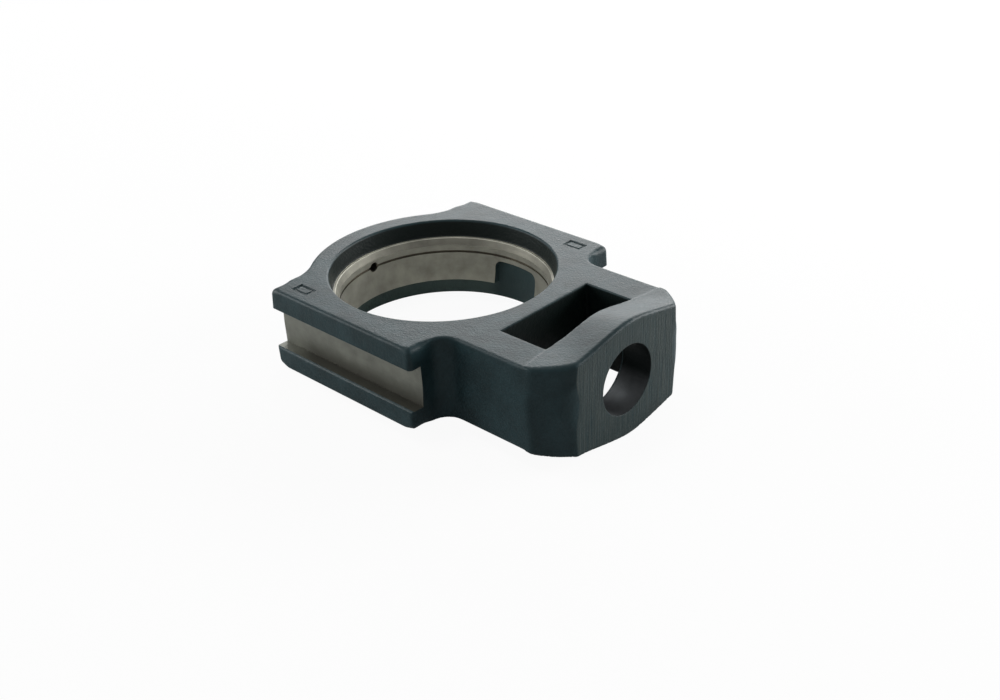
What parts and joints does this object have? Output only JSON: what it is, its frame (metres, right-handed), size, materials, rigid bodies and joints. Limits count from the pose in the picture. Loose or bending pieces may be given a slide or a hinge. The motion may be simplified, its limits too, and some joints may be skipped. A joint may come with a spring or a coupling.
{
  "type": "take-up bearing housing",
  "caption": "Cast take-up housing that slides on guide rails, with a spherical bearing seat, nut window, tension screw hole and grease nipple.",
  "frame": {"origin": "centre of the spherical bearing seat", "axes": "+X along the tension screw from the seat to the nose, +Z along the bearing axis to the face with the machined lead-in, +Y across the rails"},
  "size_m": [0.1997, 0.146, 0.062],
  "materials": {
    "painted_iron": "satin dark slate paint over a sand-cast skin; seat and guide grooves machined bare",
    "zinc_plated_steel": "turned and zinc plated",
    "ball_steel": "polished",
    "spring_steel": "drawn wire"
  },
  "bodies": {
    "housing": {"housing": "painted_iron", "nipple_body": "zinc_plated_steel", "nipple_spring": "spring_steel"},
    "check_ball": {"nipple_ball": "ball_steel"}
  },
  "joints": [
    {"name": "check_ball_slide", "type": "slide", "parent": "housing", "child": "check_ball", "axis": [1, 0, 0], "range_m": [0, 0.0012], "stiffness_N_per_m": 300, "springref_m": -0.001, "deforming": ["nipple_spring"]}
  ]
}
